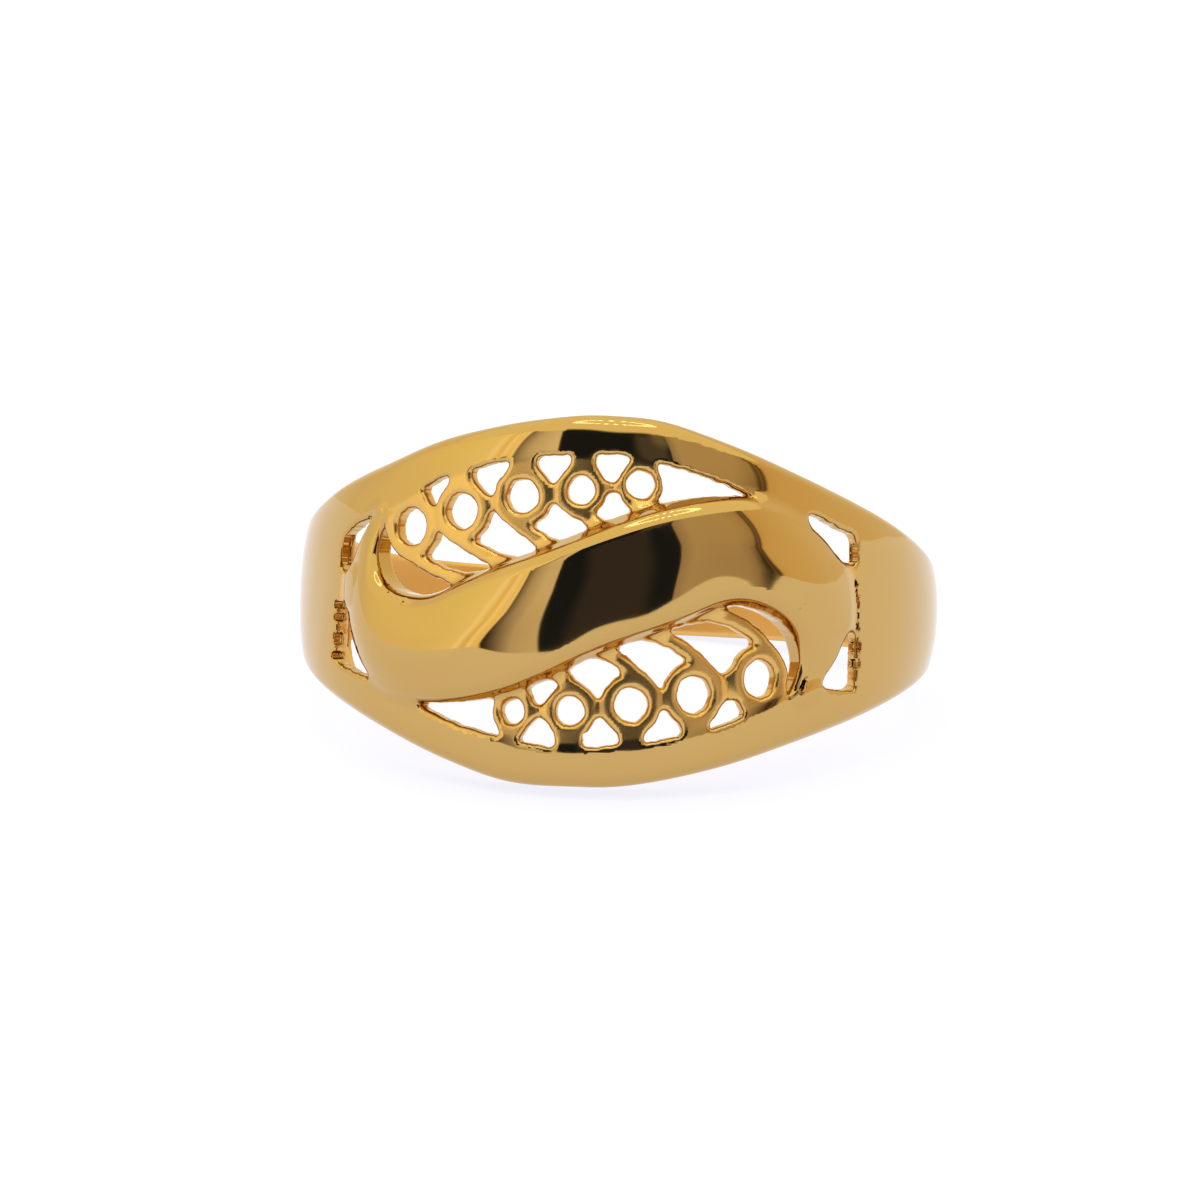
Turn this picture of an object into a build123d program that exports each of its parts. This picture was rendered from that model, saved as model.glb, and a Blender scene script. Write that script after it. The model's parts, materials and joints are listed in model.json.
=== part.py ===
from build123d import *
from collections import namedtuple
from math import atan2, cos, degrees, radians, sin
import os

# A broad pierced ring: a hollow-backed head framed by a rim, with a raised S-shaped
# band across it and a row of open scrolls on each side of the band.
# The ring is drawn with its axis along Z and its head towards -Y, and is laid on its
# side at the end. The band and the scrolls look the same after half a turn about the
# Y axis, and the rim nearly so.

# Driving dimensions, in mm
finger_radius = 8.5         # the bore
head_thickness = 1.7        # bore to rim at the middle of the head
side_thickness = 1.15       # the same at the ring's two sides
back_thickness = 1.0        # the same at the back of the shank
head_width = 10.8           # along the ring's axis, at the middle of the head
back_width = 1.9            # along the ring's axis, at the back
edge_radius = 0.38          # rounding of the outer edges
crown_drop = 0.16           # how far the outside falls from its crown to its edges
shell_wall = 0.55           # thickness of the head's skin
skirt_wall = 0.8            # thickness of the rim's two skirts, which reach the bore
window_half_angle = 51.6    # the pierced window, each way from the head's middle
hollow_half_angle = 62.0    # the hollow behind it
rim_width = 1.25            # the rim beside the window
band_width = 3.4            # the S band at its middle
band_rise = 0.9             # its crest above the rim's surface
band_wall = 0.45            # its skin
band_shoulder = 0.35        # rounding of its two long edges
narrow_wall = 0.6           # most that the wall and the rounding take of half the band's
narrow_shoulder = 0.5       # width, where it is narrow
crest_shift = 0.3           # how far uneven edges move the crest, of half the band's width
scroll_radius = 0.7         # middle of the largest scroll's wire
scroll_wire = 0.54          # diameter of that wire
tail_wire = 0.46            # diameter of the largest scroll's tail, less than its wire
wire_drop = 0.06            # top of the wires below the rim's surface
bar_depth = 0.4             # depth of the links and ties
link_width = 0.5            # bars between neighbouring scrolls
tie_width = 0.9             # bars from the scrolls to the rim
tie_depth = 0.25            # how far they run into the rim
cut_margin = 0.6            # how far a cutter passes through what it cuts

# Edges round the ring: 0 is half the back's width, 1 half the head's. The upper edge
# is fuller at positive angles, the lower one at negative angles.
Width = namedtuple("Width", "angle upper lower")
widths = [
    Width(-66, 0.382, 0.396),
    Width(-52, 0.528, 0.535),
    Width(-38, 0.674, 0.694),
    Width(-28, 0.798, 0.818),
    Width(-20, 0.874, 0.91),
    Width(-12, 0.937, 0.984),
    Width(-5, 0.978, 1.004),
    Width(0, 1.0, 1.0),
    Width(5, 1.002, 0.996),
    Width(12, 0.984, 0.962),
    Width(20, 0.91, 0.894),
    Width(28, 0.818, 0.811),
    Width(38, 0.694, 0.69),
    Width(52, 0.535, 0.532),
    Width(66, 0.396, 0.39),
    Width(80, 0.27, 0.27),
    Width(95, 0.17, 0.17),
    Width(110, 0.09, 0.09),
    Width(125, 0.042, 0.042),
    Width(140, 0.018, 0.018),
    Width(155, 0.006, 0.006),
    Width(168, 0.0, 0.0),
    Width(180, 0.0, 0.0),
]

# Sections of the hollow, as shares of its half angle
hollow_shares = (-1, -0.6, -0.3, 0, 0.3, 0.6, 1)

# Rim above the window, in rim widths. Half a turn makes the rim below it.
Rim = namedtuple("Rim", "angle share")
rims = [
    Rim(-window_half_angle, 1.1),
    Rim(-45, 1.17),
    Rim(-38, 1.2),
    Rim(-31, 1.11),
    Rim(-20, 0.95),
    Rim(-9, 0.9),
    Rim(3, 0.9),
    Rim(14, 1.0),
    Rim(26, 1.02),
    Rim(38, 0.98),
    Rim(45, 0.93),
    Rim(window_half_angle, 0.88),
]

# The S band from its tip to the middle of the head. Height is a share of half the
# head's width, heading is that of the band's run, up from the ring's circumference.
# Inner and outer are its height at its two edges, as shares of its crest.
Row = namedtuple("Row", "angle height heading width rise inner outer")
band_rows = [
    Row(-40.1, 0.454, -118, 0.18, 0.15, 0.6, 0.6),
    Row(-42.0, 0.324, -112, 0.27, 0.3, 0.7, 0.4),
    Row(-43.4, 0.163, -94, 0.45, 0.45, 0.75, 0.1),
    Row(-43.4, -0.025, -72, 0.66, 0.6, 0.8, 0.0),
    Row(-39.4, -0.165, -52, 0.72, 0.7, 0.8, 0.0),
    Row(-33.3, -0.278, -14, 0.84, 0.85, 0.8, 0.3),
    Row(-24.1, -0.269, 13, 0.87, 0.95, 0.8, 0.65),
    Row(-13.9, -0.172, 19, 0.94, 1.0, 0.8, 0.8),
    Row(0, 0.0, 22, 1.0, 1.0, 0.8, 0.8),
]

# Scrolls above the band. Height is a share of half the head's width, the rest are
# shares of the scroll radius, the wire, the link to the next scroll and the tie.
Scroll = namedtuple("Scroll", "angle height radius wire link tie tie_heading")
scrolls = [
    Scroll(-31.6, 0.381, 1.0, 1.0, 1.6, 1.5, 110),
    Scroll(-19.9, 0.476, 1.0, 0.95, 1.1, 1.0, 95),
    Scroll(-9.4, 0.548, 0.96, 0.95, 1.1, 1.0, 92),
    Scroll(0.7, 0.593, 0.81, 0.8, 0.75, 0.8, 90),
    Scroll(10.3, 0.613, 0.71, 0.65, 0.0, 0.9, 88),
]

# Each scroll's tail in the same order: where it leaves the scroll, as a heading from
# the scroll's middle, then the bend and the end of its arc
Tail = namedtuple("Tail", "leaves bend_angle bend_height end_angle end_height")
tails = [
    Tail(190, -30.5, 0.160, -15.5, 0.100),
    Tail(215, -17.2, 0.233, -8.3, 0.175),
    Tail(214, -8.1, 0.333, -1.7, 0.255),
    Tail(216, 0.8, 0.448, 5.6, 0.370),
    Tail(233, 9.6, 0.496, 12.0, 0.435),
]

# Skin that joins each lobe of the band to the end of the window
Bridge = namedtuple("Bridge", "angle height length width")
bridge = Bridge(-48.0, -0.07, 0.5, 0.54)    # of the band's width


def surface_radius(angle):
    # Outside of the rim at its crown
    facing = cos(radians(angle))
    end = head_thickness if facing > 0 else back_thickness
    return finger_radius + side_thickness + (end - side_thickness) * facing**2


def column_at(table, column, angle):
    for low, high in zip(table, table[1:]):
        if low.angle <= angle <= high.angle:
            step = (angle - low.angle) / (high.angle - low.angle)
            start = getattr(low, column)
            return start + step * (getattr(high, column) - start)
    return getattr(table[-1], column)


def edge_at(column, angle):
    # The two sides differ only near the head
    listed = angle if angle >= widths[0].angle else -angle
    return (back_width + column_at(widths, column, listed) * (head_width - back_width)) / 2


def upper_edge(angle):
    return edge_at("upper", angle)


def lower_edge(angle):
    return -edge_at("lower", angle)


def radial_plane(angle):
    # Local X is away from the ring's axis, local Y along it
    turn = radians(angle)
    return Plane((0, 0, 0), x_dir=(sin(turn), -cos(turn), 0), z_dir=(-cos(turn), -sin(turn), 0))


def surface_point(angle, height, rise=0.0):
    # Height is a share of half the head's width, rise is above the rim's surface
    turn = radians(angle)
    reach = surface_radius(angle) + rise
    return Vector(reach * sin(turn), -reach * cos(turn), height * head_width / 2)


def outward(angle):
    turn = radians(angle)
    return Vector(sin(turn), -cos(turn), 0)


def along(angle, heading):
    # Direction on the surface: round the ring at heading 0, up its axis at 90
    turn = radians(angle)
    run = cos(radians(heading))
    return Vector(run * cos(turn), run * sin(turn), sin(radians(heading)))


# The blank: a full ring with a D section, wide at the head, in two halves that meet
# at the middle of the head and at the back
blank_angles = [row.angle for row in widths if row.angle >= 0]
with BuildPart() as blank:
    for side in (1, -1):
        for angle in blank_angles:
            crown = surface_radius(angle)
            top = upper_edge(side * angle)
            bottom = lower_edge(side * angle)
            corner = crown - crown_drop
            inner = finger_radius - cut_margin
            bulge = edge_radius * (1 - cos(radians(45)))
            with BuildSketch(radial_plane(side * angle)):
                with BuildLine():
                    Line((inner, top), (inner, bottom))
                    Line((inner, bottom), (corner - edge_radius, bottom))
                    ThreePointArc(
                        (corner - edge_radius, bottom),
                        (corner - bulge, bottom + bulge),
                        (corner, bottom + edge_radius),
                    )
                    ThreePointArc(
                        (corner, bottom + edge_radius), (crown, 0), (corner, top - edge_radius)
                    )
                    ThreePointArc(
                        (corner, top - edge_radius),
                        (corner - bulge, top - bulge),
                        (corner - edge_radius, top),
                    )
                    Line((corner - edge_radius, top), (inner, top))
                make_face()
        loft()

# The hollow behind the head, between the two skirts
with BuildPart() as hollow:
    for share in hollow_shares:
        angle = share * hollow_half_angle
        inner = finger_radius - cut_margin
        outer = surface_radius(angle) - shell_wall
        top = upper_edge(angle) - skirt_wall
        bottom = lower_edge(angle) + skirt_wall
        with BuildSketch(radial_plane(angle)):
            with BuildLine():
                Polyline((inner, bottom), (outer, bottom), (outer, top), (inner, top), close=True)
            make_face()
    loft()

# The window through the head, with radial walls
with BuildPart() as window:
    for row in rims:
        inner = finger_radius - cut_margin
        outer = surface_radius(row.angle) + cut_margin
        top = upper_edge(row.angle) - column_at(rims, "share", row.angle) * rim_width
        bottom = lower_edge(row.angle) + column_at(rims, "share", -row.angle) * rim_width
        with BuildSketch(radial_plane(row.angle)):
            with BuildLine():
                Polyline((inner, bottom), (outer, bottom), (outer, top), (inner, top), close=True)
            make_face()
    loft()

with BuildPart() as frame:
    add(blank.part)
    Cylinder(finger_radius, head_width + 2 * cut_margin, mode=Mode.SUBTRACT)
    add(hollow.part, mode=Mode.SUBTRACT)
    add(window.part, mode=Mode.SUBTRACT)

# The S band: an open arch, from tip to tip
band_rows_back = [
    Row(-row.angle, -row.height, row.heading, row.width, row.rise, row.outer, row.inner)
    for row in reversed(band_rows[:-1])
]
with BuildPart() as band:
    for row in band_rows + band_rows_back:
        half = row.width * band_width / 2
        crest = row.rise * band_rise
        foot = -shell_wall
        wall = min(band_wall, half * narrow_wall)
        corner = min(band_shoulder, half * narrow_shoulder)
        bulge = corner * (1 - cos(radians(45)))
        peak = crest_shift * (row.inner - row.outer) * half
        inner_lip = row.inner * crest - corner
        outer_lip = row.outer * crest - corner
        centre = surface_point(row.angle, row.height)
        run = along(row.angle, row.heading)
        across = along(row.angle, row.heading + 90)
        with BuildSketch(Plane(centre, x_dir=across, z_dir=run)):
            with BuildLine():
                Line((-half, foot), (-half, outer_lip))
                ThreePointArc(
                    (-half, outer_lip),
                    (-half + bulge, outer_lip + corner - bulge),
                    (-half + corner, outer_lip + corner),
                )
                ThreePointArc(
                    (-half + corner, outer_lip + corner),
                    (peak, crest),
                    (half - corner, inner_lip + corner),
                )
                ThreePointArc(
                    (half - corner, inner_lip + corner),
                    (half - bulge, inner_lip + corner - bulge),
                    (half, inner_lip),
                )
                Line((half, inner_lip), (half, foot))
                Line((half, foot), (half - wall, foot))
                ThreePointArc((half - wall, foot), (peak, crest - band_wall), (-half + wall, foot))
                Line((-half + wall, foot), (-half, foot))
            make_face()
    loft()

# One field of scrolls, with their links, their ties to the rim and their tails
wire_level = -scroll_wire / 2 - wire_drop
with BuildPart() as scroll_field:
    for number, scroll in enumerate(scrolls):
        middle = surface_point(scroll.angle, scroll.height, wire_level)
        reach = scroll.radius * scroll_radius
        side = along(scroll.angle, 0)
        with BuildSketch(Plane(middle, x_dir=side, z_dir=along(scroll.angle, 90))):
            with Locations((reach, 0)):
                Circle(scroll.wire * scroll_wire / 2)
        revolve(axis=Axis(middle, outward(scroll.angle)))

        if scroll.link:
            other = scrolls[number + 1]
            step = surface_point(other.angle, other.height, wire_level) - middle
            heading = step.normalized()
            length = step.length - reach - other.radius * scroll_radius
            start = middle + heading * reach
            with BuildSketch(Plane(start, x_dir=heading.cross(outward(scroll.angle)), z_dir=heading)):
                Ellipse(scroll.link * link_width / 2, scroll.wire * bar_depth / 2)
            extrude(amount=length)

        heading = along(scroll.angle, scroll.tie_heading)
        rim_edge = upper_edge(scroll.angle) - column_at(rims, "share", scroll.angle) * rim_width
        length = rim_edge + tie_depth - scroll.height * head_width / 2 - reach
        start = middle + heading * reach
        with BuildSketch(Plane(start, x_dir=heading.cross(outward(scroll.angle)), z_dir=heading)):
            Ellipse(scroll.tie * tie_width / 2, scroll.wire * bar_depth / 2)
        extrude(amount=length)

    for scroll, tail in zip(scrolls, tails):
        middle = surface_point(scroll.angle, scroll.height, wire_level)
        start = middle + along(scroll.angle, tail.leaves) * scroll.radius * scroll_radius
        bend = surface_point(tail.bend_angle, tail.bend_height, wire_level)
        end = surface_point(tail.end_angle, tail.end_height, wire_level)
        with BuildLine() as path:
            ThreePointArc(start, bend, end)
        with BuildSketch(Plane(path.line @ 0, z_dir=path.line % 0)):
            Circle(scroll.wire * tail_wire / 2)
        sweep(path=path.line)

# Skin from one lobe of the band to the end of the window
with BuildPart() as lobe_bridge:
    middle = surface_point(bridge.angle, bridge.height)
    with BuildSketch(Plane(middle, x_dir=along(bridge.angle, 0), z_dir=outward(bridge.angle))):
        Rectangle(bridge.length * band_width, bridge.width * band_width)
    extrude(amount=-shell_wall)

# The whole ring. Each scroll field and bridge is there twice, half a turn apart. All
# are joined to the frame at once, which stays sound when the sizes change.
with BuildPart() as upright_ring:
    add(frame.part)
    pairs = [piece.part.rotate(Axis.Y, turn) for piece in (lobe_bridge, scroll_field) for turn in (0, 180)]
    add([band.part] + pairs)

# It lies on the inner edge of its head's lower side and the outer edge of its back
back_edge = finger_radius + back_thickness - crown_drop - edge_radius
tilt = degrees(atan2(head_width - back_width, 2 * (finger_radius + back_edge)))
with BuildPart() as gold_ring:
    laid = upright_ring.part.rotate(Axis.X, -tilt)
    box = laid.bounding_box()
    bore_middle = Vector(-box.center().X, -box.center().Y, -box.min.Z)
    add(laid.translate(bore_middle))
gold_ring.part.label = "gold_ring"

os.makedirs("parts", exist_ok=True)
export_step(gold_ring.part, "parts/gold_ring.step")

print("tilt", round(tilt, 3), "degrees")
print("middle of the bore", bore_middle)
print("solids", len(gold_ring.part.solids()), "valid", gold_ring.part.is_valid)
print("volume", round(gold_ring.part.volume, 2), "mm3")
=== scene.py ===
import json
import math

import bpy
import numpy as np
from mathutils import Matrix, Vector


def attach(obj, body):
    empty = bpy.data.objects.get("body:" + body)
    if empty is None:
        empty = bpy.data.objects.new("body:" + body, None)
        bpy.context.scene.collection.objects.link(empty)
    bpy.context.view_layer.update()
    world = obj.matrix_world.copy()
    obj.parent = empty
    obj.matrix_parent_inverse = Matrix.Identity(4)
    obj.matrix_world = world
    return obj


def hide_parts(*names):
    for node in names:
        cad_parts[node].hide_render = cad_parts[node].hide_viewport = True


# A cast and pierced gold ring, lying on its side on a pale floor in a light tent.
# The ring is worked out in millimetres on an unrolled sheet: u runs round the finger
# (10 mm to the radian, 0 at the middle of the head, + to the right), v runs along the
# finger and h is the height above the rim's surface. Inside the metal the field is < 0.

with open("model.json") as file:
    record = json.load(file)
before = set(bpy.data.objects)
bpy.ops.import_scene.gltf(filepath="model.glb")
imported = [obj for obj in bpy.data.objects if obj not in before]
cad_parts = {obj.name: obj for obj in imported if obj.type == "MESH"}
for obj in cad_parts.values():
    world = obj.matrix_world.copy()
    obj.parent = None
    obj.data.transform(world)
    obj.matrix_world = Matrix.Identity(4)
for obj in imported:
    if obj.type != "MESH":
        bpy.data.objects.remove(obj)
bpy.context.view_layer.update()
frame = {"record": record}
mount = frame["record"]["mounts"][0]
print("frame loaded, bore", 2 * mount["dims"]["r_mm"], "mm across")
millimetre = 0.001
unroll = 10.0  # mm of u to the radian
wholeTurn = 2 * np.pi * unroll  # mm of u once round the finger
farAway = 9.0  # mm, for a field with nothing near
tiny = 1e-6


# Small tools

def linearColour(hexCode):
    parts = [int(hexCode[i:i + 2], 16) / 255 for i in (1, 3, 5)]
    return [p / 12.92 if p <= 0.04045 else ((p + 0.055) / 1.055) ** 2.4 for p in parts] + [1.0]


# each setting is a property, a socket's value or a socket to link from
def addNode(tree, kind, settings=None):
    node = tree.nodes.new(kind)
    for name, value in (settings or {}).items():
        if isinstance(value, bpy.types.NodeSocket):
            tree.links.new(value, node.inputs[name])
        elif isinstance(name, int) or name in node.inputs:
            node.inputs[name].default_value = value
        else:
            setattr(node, name, value)
    return node


def degreesToU(angle):
    return unroll * np.radians(angle)


def roundMeet(a, b, radius):  # both at once, with their outer corner rounded
    corner = np.hypot(np.maximum(a + radius, 0), np.maximum(b + radius, 0))
    return np.minimum(np.maximum(a, b), -radius) + corner


def roundJoin(a, b, radius):  # either of the two, with a fillet where they meet
    corner = np.hypot(np.maximum(radius - a, 0), np.maximum(radius - b, 0))
    return np.maximum(np.minimum(a, b), radius) - corner


def fade(x, start, end):  # 0 at start, 1 at end, level at both
    t = np.clip((x - start) / (end - start), 0, 1)
    return t * t * (3 - 2 * t)


class Smooth:  # a smooth curve through a table's rows, level past its ends
    def __init__(self, knots, values):
        self.knots, self.values = np.array(knots, float), np.array(values, float)
        gaps = np.diff(self.knots)
        rises = np.diff(self.values) / gaps
        count = len(knots)
        system, goal = np.eye(count) * 2, np.zeros(count)
        system[0, 1] = system[-1, -2] = 1
        goal[0], goal[-1] = 3 * rises[0], 3 * rises[-1]
        for i in range(1, count - 1):
            system[i, i - 1:i + 2] = 1 / gaps[i - 1], 2 / gaps[i - 1] + 2 / gaps[i], 1 / gaps[i]
            goal[i] = 3 * (rises[i - 1] / gaps[i - 1] + rises[i] / gaps[i])
        self.slopes = np.linalg.solve(system, goal)

    def at(self, x, order=0):  # the value, the slope or the bend
        i = np.clip(np.searchsorted(self.knots, x) - 1, 0, len(self.knots) - 2)
        gap = self.knots[i + 1] - self.knots[i]
        t = np.clip((x - self.knots[i]) / gap, 0, 1)
        rise, up, down = self.values[i + 1] - self.values[i], self.slopes[i] * gap, self.slopes[i + 1] * gap
        bend, twist = 3 * rise - 2 * up - down, up + down - 2 * rise
        if order == 0:
            return self.values[i] + t * (up + t * (bend + t * twist))
        if order == 1:
            return (up + t * (2 * bend + 3 * t * twist)) / gap
        return (2 * bend + 6 * t * twist) / gap ** 2


class Outline:  # a smooth line on the sheet, which finds its own nearest station to any place
    reaches, cell = (12.0, 6.0), 0.25  # mm, of the grid of first guesses
    guesses, rounds = 240, 4
    leastSpeed = 0.3  # share of the line's own speed that a step reckons with at least

    def __init__(self, stations, points):
        self.u, self.v = (Smooth(stations, column) for column in zip(*points))
        self.last = stations[-1]
        tries = np.linspace(0, self.last, self.guesses)
        u, v = (np.arange(-reach, reach, self.cell) + self.cell / 2 for reach in self.reaches)
        away = np.hypot(u[:, None, None] - self.u.at(tries), v[None, :, None] - self.v.at(tries))
        self.first = tries[away.argmin(2)]

    def near(self, u, v):  # the station, how far to the left of the line, how far past its ends
        u, v = np.broadcast_arrays(u, v)
        i, j = (
            np.clip(((place + reach) / self.cell).astype(int), 0, count - 1)
            for place, reach, count in zip((u, v), self.reaches, self.first.shape)
        )
        station = self.first[i, j]
        for done in range(self.rounds + 1):
            gapU, gapV = u - self.u.at(station), v - self.v.at(station)
            alongU, alongV = self.u.at(station, 1), self.v.at(station, 1)
            speed = alongU ** 2 + alongV ** 2
            ahead = gapU * alongU + gapV * alongV
            if done < self.rounds:
                bend = gapU * self.u.at(station, 2) + gapV * self.v.at(station, 2)
                step = ahead / np.maximum(speed - bend, self.leastSpeed * speed)
                station = np.clip(station + step, 0, self.last)
        left = (alongU * gapV - alongV * gapU) / np.sqrt(speed)
        return station, left, np.abs(ahead) / np.sqrt(speed)


# The frame: shank, rim, skirts and the hollow behind the head

shank = {
    "bore": mount["dims"]["r_mm"],
    "headThickness": 1.7,
    "sideThickness": 1.15,
    "backThickness": 1.0,
    "headWidth": 10.8,
    "backWidth": 1.9,
    "edgeRound": 0.36,
    "boreRound": 0.16,
    "headCrown": (0.3, 6.5),  # fall at the edges, and how late it falls
    "backCrown": (0.26, 2.2),
    "crownChange": (48, 95),  # degrees from the head's middle
    "crownEnd": 1.1,  # half widths from the middle, past which it falls no more
    "skin": 0.55,
    "skirt": 0.8,
    "hollowEnd": 62,  # degrees
    "hollowCorner": 0.8,
    "hollowRound": 0.35,
    # degrees, then the upper and the lower edge: 0 is half the back's width, 1 half the head's
    "edges": [
        (-80, 0.27, 0.27), (-66, 0.382, 0.396), (-52, 0.528, 0.535), (-38, 0.674, 0.694),
        (-28, 0.798, 0.818), (-20, 0.874, 0.91), (-12, 0.937, 0.984), (-5, 0.978, 1.002),
        (0, 0.998, 1.0), (5, 1.0, 0.996), (12, 0.984, 0.962), (20, 0.91, 0.894),
        (28, 0.818, 0.811), (38, 0.694, 0.69), (52, 0.535, 0.532), (66, 0.396, 0.39), (80, 0.27, 0.27),
    ],
    # the narrow rest, alike on both sides: degrees, edge
    "narrow": [(95, 0.17), (110, 0.09), (125, 0.042), (140, 0.018), (155, 0.006), (168, 0), (180, 0)],
}

narrowLeft = [(-a, share, share) for a, share in reversed(shank["narrow"])]
narrowRight = [(a, share, share) for a, share in shank["narrow"]]
edgeRows = narrowLeft + shank["edges"] + narrowRight
edgeU = [degreesToU(row[0]) for row in edgeRows]
halfBack = shank["backWidth"] / 2
halfSpan = (shank["headWidth"] - shank["backWidth"]) / 2
upperEdge = Smooth(edgeU, [halfBack + row[1] * halfSpan for row in edgeRows])
lowerEdge = Smooth(edgeU, [-halfBack - row[2] * halfSpan for row in edgeRows])


def crownRadius(u):  # from the finger's axis to the rim's surface
    facing = np.cos(u / unroll)
    end = np.where(facing > 0, shank["headThickness"], shank["backThickness"])
    return shank["bore"] + shank["sideThickness"] + (end - shank["sideThickness"]) * facing ** 2


def crownFall(u, v, top, bottom):
    across = np.minimum(np.abs(2 * v - top - bottom) / (top - bottom), shank["crownEnd"])
    back = fade(np.abs(u), *[degreesToU(a) for a in shank["crownChange"]])
    headFall, headPower = shank["headCrown"]
    backFall, backPower = shank["backCrown"]
    return -(1 - back) * headFall * across ** headPower - back * backFall * across ** backPower


def shankField(u, v, h, drop):  # drop: how far the surface lies below the rim's
    top, bottom = upperEdge.at(u), lowerEdge.at(u)
    sides = np.maximum(v - top, bottom - v)
    blank = roundMeet(sides, h + drop - crownFall(u, v, top, bottom), shank["edgeRound"])
    blank = roundMeet(blank, shank["bore"] - crownRadius(u) - h, shank["boreRound"])
    pastEnd = np.abs(u) - degreesToU(shank["hollowEnd"])
    hollow = roundMeet(sides + shank["skirt"], pastEnd, shank["hollowCorner"])
    hollow = roundMeet(hollow, h + shank["skin"], shank["hollowRound"])
    return roundMeet(blank, -hollow, shank["boreRound"])


# The window, from the rim's inner edge to its two ends

window = {
    "leftEnd": 8.8,  # u of the ends at mid height, and how they lean
    "rightEnd": 9.0,
    "lean": 0.055,
    "corners": (0.5, 0.3, 0.22, 0.12),  # upper left, lower left, upper right, lower right
    "edgeRound": 0.16,
    # u, height of the upper edge, and of the lower edge after half a turn
    "edge": [
        (-9.6, 1.65, 2.2), (-8.3, 1.84, 2.26), (-7.5, 2.17, 2.2), (-6.6, 2.45, 2.44), (-5.4, 2.95, 2.95),
        (-4.5, 3.36, 3.36), (-3.5, 3.66, 3.66), (-2.5, 3.91, 3.91), (-1.5, 4.08, 4.08), (-0.5, 4.19, 4.19),
        (0.5, 4.25, 4.24), (1.5, 4.18, 4.14), (2.5, 3.97, 3.95), (3.5, 3.74, 3.72), (4.5, 3.42, 3.4),
        (5.5, 3.1, 3.08), (6.4, 2.87, 2.8), (7.2, 2.78, 2.54), (8.1, 2.48, 2.3), (9.6, 2.1, 1.95),
    ],
    "undercut": 0.35,  # how the end walls lean back under the rim
    # casting pits in the two end walls: side, height, width, how deep below the rim they start and end
    "pits": [
        (-1, 1.2, 0.86, 0.1, 0.46), (-1, -0.42, 0.2, 0.0, 0.32), (-1, -0.79, 0.22, 0.0, 0.32),
        (-1, -1.42, 0.34, 0.0, 0.3), (-1, -1.93, 0.2, 0.0, 0.34), (1, 1.76, 0.5, 0.08, 0.44),
    ],
    "pitDepth": 0.24,
    "pitRound": 0.06,
    "pitEdge": 0.02,
}
windowUpper = Smooth([row[0] for row in window["edge"]], [row[1] for row in window["edge"]])
windowLower = Smooth([row[0] for row in window["edge"]], [row[2] for row in window["edge"]])


def endPlan(u, v):
    return np.where(u < 0, -u - window["leftEnd"], u - window["rightEnd"]) + window["lean"] * v


def windowPlan(u, v, h=0.0):
    sides = np.maximum(v - windowUpper.at(u), -v - windowLower.at(-u))
    upperLeft, lowerLeft, upperRight, lowerRight = window["corners"]
    left, right = np.where(v > 0, upperLeft, lowerLeft), np.where(v > 0, upperRight, lowerRight)
    ends = endPlan(u, v) + window["undercut"] * np.minimum(h, 0)
    return roundMeet(sides, ends, np.where(u < 0, left, right))


def pitField(u, v, h):
    field = np.full(np.shape(u + v + h), farAway)
    for side, height, width, top, bottom in window["pits"]:
        aboveBelow = np.abs(h + (top + bottom) / 2) - (bottom - top) / 2
        slot = roundMeet(np.abs(v - height) - width / 2, aboveBelow, window["pitRound"])
        field = np.minimum(field, np.where(u * side > 0, slot, farAway))
    return roundMeet(field, np.abs(endPlan(u, v)) - window["pitDepth"], window["pitRound"])


# The S band: a hollow-backed arch between two outlines, from hook to hook

sBand = {
    "wall": 0.45,
    "foot": -0.55,
    "shoulder": (0.14, 0.18),  # rounding of a low edge, and how it grows with the edge's height
    "flank": (0.33, 0.36),  # how far the foot of a raised edge stands out, and how its flank leans
    "innerRound": 0.05,
    "footRound": 0.08,
    "fallReach": 1.9,  # how far in from an edge the top goes on rising
    "fallEnd": 1.3,  # what the fall grows to outside an edge, before it is squared: on the edge it is 1
    "leastGap": 0.05,  # mm, between a place and an edge when their shares are reckoned
    "endFall": 0.6,
    "endReach": (0.3, 5),  # how far it runs past its last rows, and how steeply it ends
    # the lower outline's u and v, the upper outline's u and v, then heights: crest, lower edge, upper edge
    "rows": [
        (-6.85, 2.5, -6.05, 2.6, 0.1, 0.0, 0.05),
        (-8.0, 1.12, -6.82, 1.6, 0.36, 0.0, 0.24),
        (-8.27, 0.1, -6.8, 0.85, 0.52, 0.0, 0.36),
        (-7.98, -1.25, -6.4, 0.25, 0.64, 0.0, 0.42),
        (-7.0, -2.45, -5.75, -0.06, 0.74, 0.02, 0.42),
        (-5.4, -3.05, -4.85, -0.15, 0.82, 0.12, 0.42),
        (-3.6, -2.97, -4.05, 0.03, 0.88, 0.42, 0.46),
        (-1.9, -2.55, -2.95, 0.52, 0.9, 0.66, 0.54),
        (0.5, -1.35, -0.62, 1.41, 0.9, 0.73, 0.84),
        (2.95, -0.3, 1.9, 2.52, 0.9, 0.735, 0.86),
        (4.0, 0.18, 3.6, 2.97, 0.88, 0.71, 0.66),
        (4.85, 0.27, 5.4, 3.05, 0.82, 0.74, 0.24),
        (5.6, 0.06, 7.0, 2.48, 0.74, 0.69, 0.02),
        (6.2, -0.28, 8.3, 1.4, 0.64, 0.58, 0.0),
        (6.62, -0.75, 8.72, 0.0, 0.52, 0.42, 0.0),
        (6.83, -1.5, 8.3, -1.35, 0.36, 0.24, 0.0),
        (6.5, -2.6, 7.0, -2.65, 0.1, 0.05, 0.0),
    ],
    "join": 0.3,  # fillet to the frame and the wires
    "joinAtEnds": 0.5,
    "joinChange": (6.6, 7.8),  # u, where the one turns into the other
}
bandRows = np.array(sBand["rows"])
bandMiddle = (bandRows[:, 0:2] + bandRows[:, 2:4]) / 2
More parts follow.
